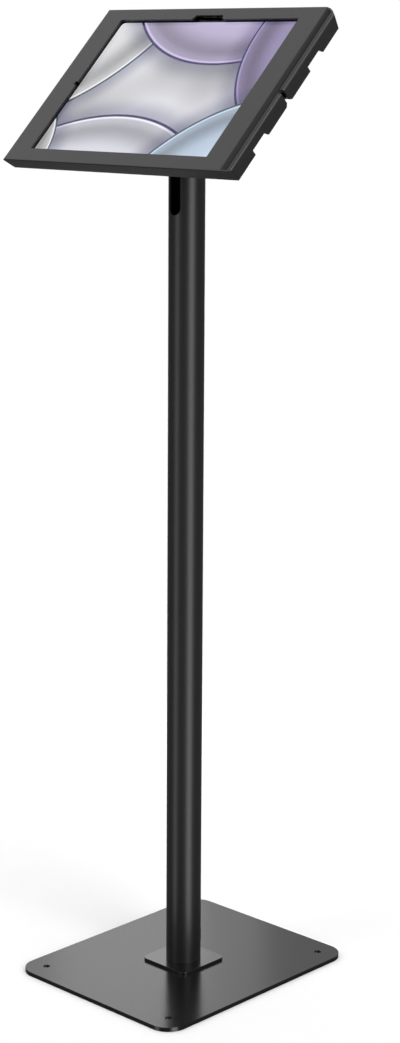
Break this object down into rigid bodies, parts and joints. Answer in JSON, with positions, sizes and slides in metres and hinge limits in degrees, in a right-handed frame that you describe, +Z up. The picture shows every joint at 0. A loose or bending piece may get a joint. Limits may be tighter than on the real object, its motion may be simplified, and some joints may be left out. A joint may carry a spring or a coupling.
{
  "type": "tablet security kiosk stand",
  "caption": "Floor stand with a thin square foot, a round pole and a tilting, turning metal head that locks round a tablet.",
  "frame": {"origin": "centre of the foot's underside, on the floor, at the middle of the floor bolts", "axes": "+Z up along the pole, -Y towards the user whom the screen faces, +X to the right of the screen"},
  "size_m": [0.345, 0.307, 1.112],
  "materials": {
    "black_paint": "satin",
    "base_paint": "satin",
    "zinc_steel": "satin",
    "disc_fibre": "matte",
    "washer_nylon": "matte",
    "grommet_rubber": "matte",
    "foam": "matte",
    "tablet_aluminium": "satin",
    "screen_glass": "gloss",
    "display_panel": "gloss",
    "battery_wrap": "matte",
    "board_green": "satin",
    "lens_black": "gloss",
    "lock_chrome": "gloss"
  },
  "bodies": {
    "stand": {"base_plate": "base_paint", "pole_flange": "black_paint", "flange_screws": "zinc_steel", "pole_tube": "black_paint", "cable_grommet": "grommet_rubber", "hinge_block": "black_paint", "block_screws": "zinc_steel", "tilt_bolt": "zinc_steel", "tilt_nut": "zinc_steel", "friction_discs": "disc_fibre"},
    "tilt_arm": {"tilt_neck": "black_paint"},
    "head": {"swivel_washer": "washer_nylon", "swivel_plate": "black_paint", "stop_pin": "zinc_steel", "swivel_bolt": "zinc_steel", "spring_washer": "zinc_steel", "swivel_nut": "zinc_steel", "plate_screws": "zinc_steel", "front_bezel": "black_paint", "spacers": "zinc_steel", "tray_screws": "zinc_steel", "rear_tray": "black_paint", "front_gasket": "foam", "rear_pads": "foam", "tablet_shell": "tablet_aluminium", "tablet_glass": "screen_glass", "tablet_display": "display_panel", "tablet_battery": "battery_wrap", "tablet_board": "board_green", "front_camera": "lens_black", "rear_camera": "lens_black", "lock_bracket": "black_paint", "bracket_screws": "zinc_steel", "lock_barrel": "lock_chrome", "lock_nut": "lock_chrome"},
    "side_cover": {"side_cover": "black_paint"},
    "lock": {"lock_plug": "lock_chrome", "lock_cam": "zinc_steel", "cam_screw": "zinc_steel"},
    "volume_up_button": {"volume_up": "tablet_aluminium"},
    "volume_down_button": {"volume_down": "tablet_aluminium"},
    "power_key": {"power_button": "tablet_aluminium"}
  },
  "joints": [
    {"name": "tilt", "type": "hinge", "parent": "stand", "child": "tilt_arm", "pos_m": [0, 0, 0.99], "axis": [1, 0, 0], "range_deg": [-45, 45]},
    {"name": "swivel", "type": "hinge", "parent": "tilt_arm", "child": "head", "pos_m": [0, -0.03889, 1.02889], "axis": [0, -0.7071, 0.7071], "range_deg": [0, 90]},
    {"name": "cover_pull", "type": "slide", "parent": "head", "child": "side_cover", "axis": [1, 0, 0], "range_m": [0, 0.04]},
    {"name": "key_turn", "type": "hinge", "parent": "head", "child": "lock", "pos_m": [0.153, -0.01061, 1.02889], "axis": [0, -0.7071, 0.7071], "range_deg": [0, 90]},
    {"name": "volume_up_press", "type": "slide", "parent": "head", "child": "volume_up_button", "axis": [0, -0.7071, -0.7071], "range_m": [0, 0.0004], "stiffness_N_per_m": 3000, "springref_m": -0.0002},
    {"name": "volume_down_press", "type": "slide", "parent": "head", "child": "volume_down_button", "axis": [0, -0.7071, -0.7071], "range_m": [0, 0.0004], "stiffness_N_per_m": 3000, "springref_m": -0.0002},
    {"name": "power_press", "type": "slide", "parent": "head", "child": "power_key", "axis": [1, 0, 0], "range_m": [0, 0.0004], "stiffness_N_per_m": 3000, "springref_m": -0.0002}
  ]
}
